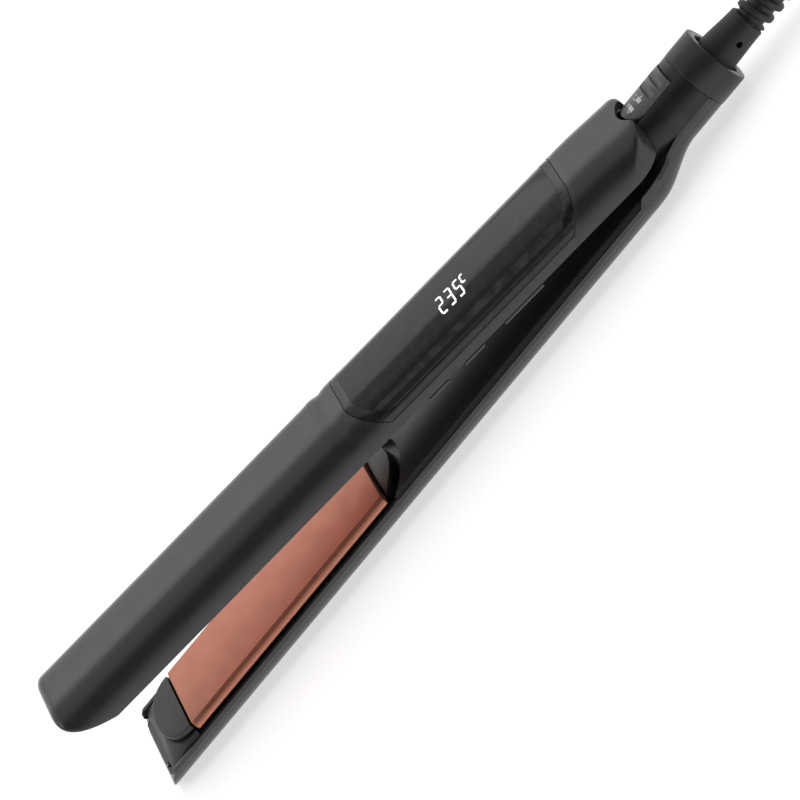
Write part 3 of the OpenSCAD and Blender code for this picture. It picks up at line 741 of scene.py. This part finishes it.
def make_relief():
    """Strain relief on its tilted axis: smooth tapering stub, then ribs that wind round the cord."""
    tilt, root_x = math.radians(3), 246
    rings, around = 300, 56
    verts = []
    for i in range(rings + 1):
        s = -9.8 + 66.8 * i / rings
        for k in range(around):
            a = 2 * math.pi * k / around
            if s < -6.2:
                r = 8.0
            elif s < 5.8:
                r = 6.5
            elif s < 20:
                r = 6.5 - 0.85 * smooth((s - 5.8) / 14.2)
            else:
                along = (s - 20.6) / 4.4 - a / (2 * math.pi)
                crest = 0.5 + 0.5 * math.cos(2 * math.pi * (along - 0.35))
                fade = smooth((s - 20) / 1.6) * smooth((56.6 - s) / 1.5)
                core = 4.15 - 0.3 * (s - 20) / 37
                rib = 5.75 - 1.0 * (s - 20) / 37
                r = core + (rib - core) * smooth(crest * 1.5 - 0.25) * fade
                if s < 21.2:
                    r = max(r, 5.65 * (1 - smooth((s - 20) / 1.2)) + core * smooth((s - 20) / 1.2))
            y, w = r * math.cos(a), r * math.sin(a)
            verts.append(low(root_x + s * math.cos(tilt) + w * math.sin(tilt), y,
                             -s * math.sin(tilt) + w * math.cos(tilt)))
    obj = make("strain_relief_turned", verts, tube_faces(rings + 1, around), "relief", "swivel",
               ("strain_relief",), sharp=50)
    middle = circle(root_x + 14 * math.cos(tilt), -14 * math.sin(tilt), 1.0, 32)
    hole = [low(x, y, z) for y in (-8, 8) for x, z in middle]
    cutter = plain("hole_cutter", hole, tube_faces(2, 32))
    cut(obj, cutter)
    settle(obj, [cutter])
    return obj


def on_slider(x, y, lift):
    """Point on the slider's round face, lift mm above it."""
    r = 11.06 + lift
    return low(x, y, math.sqrt(max(0.0, r * r - y * y)))


def make_icons():
    """Two small padlocks with arrows, printed on the slider: one closed, one open."""
    verts, faces = [], []

    def patch(outline):
        base = len(verts)
        verts.extend(on_slider(x, y, 0.11) for x, y in outline)
        verts.extend(on_slider(x, y, -0.08) for x, y in outline)
        n = len(outline)
        faces.append(tuple(range(base, base + n)))
        faces.append(tuple(range(base + n, base + 2 * n)))
        for i in range(n):
            j = (i + 1) % n
            faces.append((base + i, base + j, base + n + j, base + n + i))

    def block(x0, x1, y0, y1):
        patch([(x0, y0), (x1, y0), (x1, y1), (x0, y1)])

    bar = 0.14
    for cx, span, shift, foot, way in ((225.6, 0.45, 0.0, -0.4, -1), (229.0, 0.95, -0.5, 0.5, 1)):
        block(cx - 0.75, cx + 0.75, -2.6, -0.4)
        left, right = cx + shift - span * 0.5, cx + shift + span * 0.9
        block(left - bar, left + bar, -0.4, 1.0)
        block(right - bar, right + bar, foot, 1.0)
        block(left - bar, right + bar, 1.0, 1.28)
        tip, base = cx + 1.75 * way, cx + 1.05 * way
        patch([(tip, -1.5), (base, -0.9), (base, -2.1)])
    return make("slider_icons", verts, faces, "icon", "lock", (), sharp=30)


def make_slider():
    """Slider with two stepped finger grooves that run to its far edge."""
    obj = copy_of("lock_slider")
    cutters = []
    for x0 in (231.4, 235.4):
        for floor, x1, y0 in ((9.9, x0 + 2.2, -4.5), (9.62, x0 + 1.1, -3.9)):
            cutters.append(prism("groove", [(x0, y0), (x1, y0), (x1, 9), (x0, 9)], floor, 13, low))
    for cutter in cutters:
        cut(obj, cutter)
    round_edges(obj, 0.16)
    settle(obj, cutters)
    return obj


make_upper_shell()
make_lower_shell()
make_nose("lower", low, -1, LOWER_SURROUND)
make_nose("upper", high, 1, UPPER_SURROUND)
make_lower_cover()
make_upper_cover()
for arm, place, sign in (("lower", low, -1), ("upper", high, 1)):
    for side_name, side in (("near", -1), ("far", 1)):
        make_strip(f"{arm}_strip_{side_name}", arm + "_arm", place, sign, side, arm + "_liner")
# floor under the crescent step, near black as painted shade in the recess
make_box("crescent_floor", "lower_arm", low, "dark", "lower_liner", (91.2, 104), (-15.4, 15.4), (-6.2, -5.45))
for node, body, middle, width in KEYS:
    make_box(node + "_cap", body, high, "button", node, (middle - width / 2, middle + width / 2),
             (-17.35, -13.6), (0.32, 1.25))
make_bezel_flange()
make_plate("lower_plate_polished", "lower_heating_plate", low, -1, "lower_plate")
make_plate("upper_plate_polished", "upper_heating_plate", high, 1, "upper_plate")
make_relief()
make_slider()
make_icons()


# ---------- pieces made from the CAD nodes with rounded edges ----------

for node, width in (
    ("display_bezel", 0.3), ("display_lens", 0.18), ("neck_cover", 0.35), ("end_cap", 0.45),
    ("plug_body", 1.6), ("plug_pins", 0.6), ("cord_tie", 0.25),
):
    round_edges(copy_of(node), width)


# ---------- surroundings ----------

def make_floor():
    """Pale matt floor."""
    bm = bmesh.new()
    bmesh.ops.create_grid(bm, x_segments=2, y_segments=2, size=6)
    mesh = bpy.data.meshes.new("floor")
    bm.to_mesh(mesh)
    bm.free()
    obj = bpy.data.objects.new("floor", mesh)
    bpy.context.collection.objects.link(obj)
    mat = bpy.data.materials.new("floor_pale")
    mat.use_nodes = True
    bsdf = mat.node_tree.nodes["Principled BSDF"]
    bsdf.inputs["Base Color"].default_value = (0.86, 0.86, 0.86, 1)
    bsdf.inputs["Roughness"].default_value = 0.9
    bsdf.inputs["Specular IOR Level"].default_value = 0.1
    bsdf.inputs["Emission Color"].default_value = (1, 1, 1, 1)
    bsdf.inputs["Emission Strength"].default_value = 0.62
    mesh.materials.append(mat)


def make_world():
    """Studio surround: bright low on the far side, a dark band high on the near side."""
    world = bpy.data.worlds.new("studio")
    bpy.context.scene.world = world
    world.use_nodes = True
    nt = world.node_tree
    coords = nt.nodes.new("ShaderNodeTexCoord").outputs["Generated"]
    split = nt.nodes.new("ShaderNodeSeparateXYZ")
    nt.links.new(coords, split.inputs["Vector"])
    angle = nt.nodes.new("ShaderNodeMath")
    angle.operation = "ARCTAN2"
    nt.links.new(split.outputs["Z"], angle.inputs[0])
    nt.links.new(split.outputs["Y"], angle.inputs[1])
    turn = nt.nodes.new("ShaderNodeMath")
    turn.operation = "DIVIDE"
    nt.links.new(angle.outputs[0], turn.inputs[0])
    turn.inputs[1].default_value = math.pi
    level = ramp(nt, turn.outputs[0], [
        (0.0, 1.0), (0.2, 0.84), (0.56, 0.82), (0.66, 0.0), (0.85, 0.0), (0.95, 0.9), (1.0, 1.0)])
    back = nt.nodes["Background"]
    nt.links.new(level, back.inputs["Color"])
    back.inputs["Strength"].default_value = 0.9


def make_lights():
    """Two wide soft lights that face the iron."""
    for name, place, size, power in (
        ("far_soft", (0.1, 1.4, 1.2), (1.8, 1.0), 3.5),
        ("left_soft", (-1.5, -0.3, 1.3), (0.9, 1.2), 4.0),
    ):
        data = bpy.data.lights.new(name, "AREA")
        data.shape = "RECTANGLE"
        data.size, data.size_y = size
        data.energy = power
        obj = bpy.data.objects.new(name, data)
        bpy.context.collection.objects.link(obj)
        obj.location = place
        obj.rotation_euler = (-Vector(place)).to_track_quat("-Z", "Y").to_euler()


make_floor()
make_world()
make_lights()
